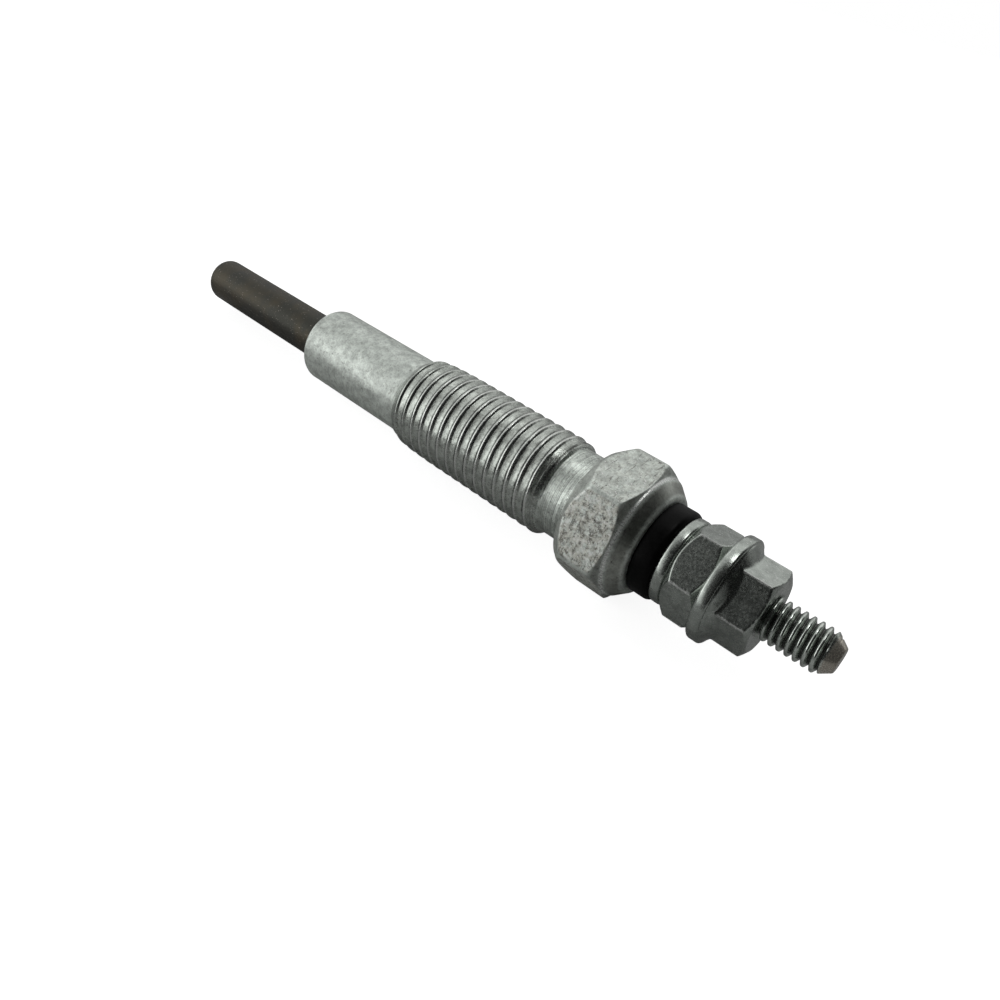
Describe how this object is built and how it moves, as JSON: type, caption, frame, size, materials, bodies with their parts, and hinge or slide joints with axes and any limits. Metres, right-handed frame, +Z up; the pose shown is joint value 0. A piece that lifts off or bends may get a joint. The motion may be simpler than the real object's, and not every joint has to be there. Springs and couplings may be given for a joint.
{
  "type": "diesel glow plug",
  "caption": "Engine heater plug: a slim closed heater sheath in a threaded housing with a wrench hex, and an insulated terminal stud with washer and nuts at the rear.",
  "frame": {"origin": "middle of the plug's length, on the surface that the wrench hex lies on, under the plug's axis", "axes": "+X along the plug's axis towards the terminal stud, +Z up, square to the flat that it lies on"},
  "size_m": [0.0826, 0.0134, 0.0119],
  "materials": {
    "plated_steel": "zinc plated, mottled satin",
    "sheath_alloy": "oxidised, dull dark brown-grey",
    "coil_wire": "drawn wire",
    "magnesia": "packed powder, matte",
    "seal_rubber": "matte",
    "rod_steel": "zinc plated, rolled thread",
    "insulator_black": "glossy black",
    "nut_steel": "zinc plated, satin"
  },
  "bodies": {
    "root": {"housing": "plated_steel", "heater_sheath": "sheath_alloy", "heating_coil": "coil_wire", "regulating_coil": "coil_wire", "magnesia_fill": "magnesia", "sheath_seal": "seal_rubber", "terminal_rod": "rod_steel", "body_seal": "seal_rubber", "insulator_bush": "insulator_black", "flat_washer": "nut_steel", "hex_nut": "nut_steel", "flange_nut": "nut_steel"}
  },
  "joints": []
}
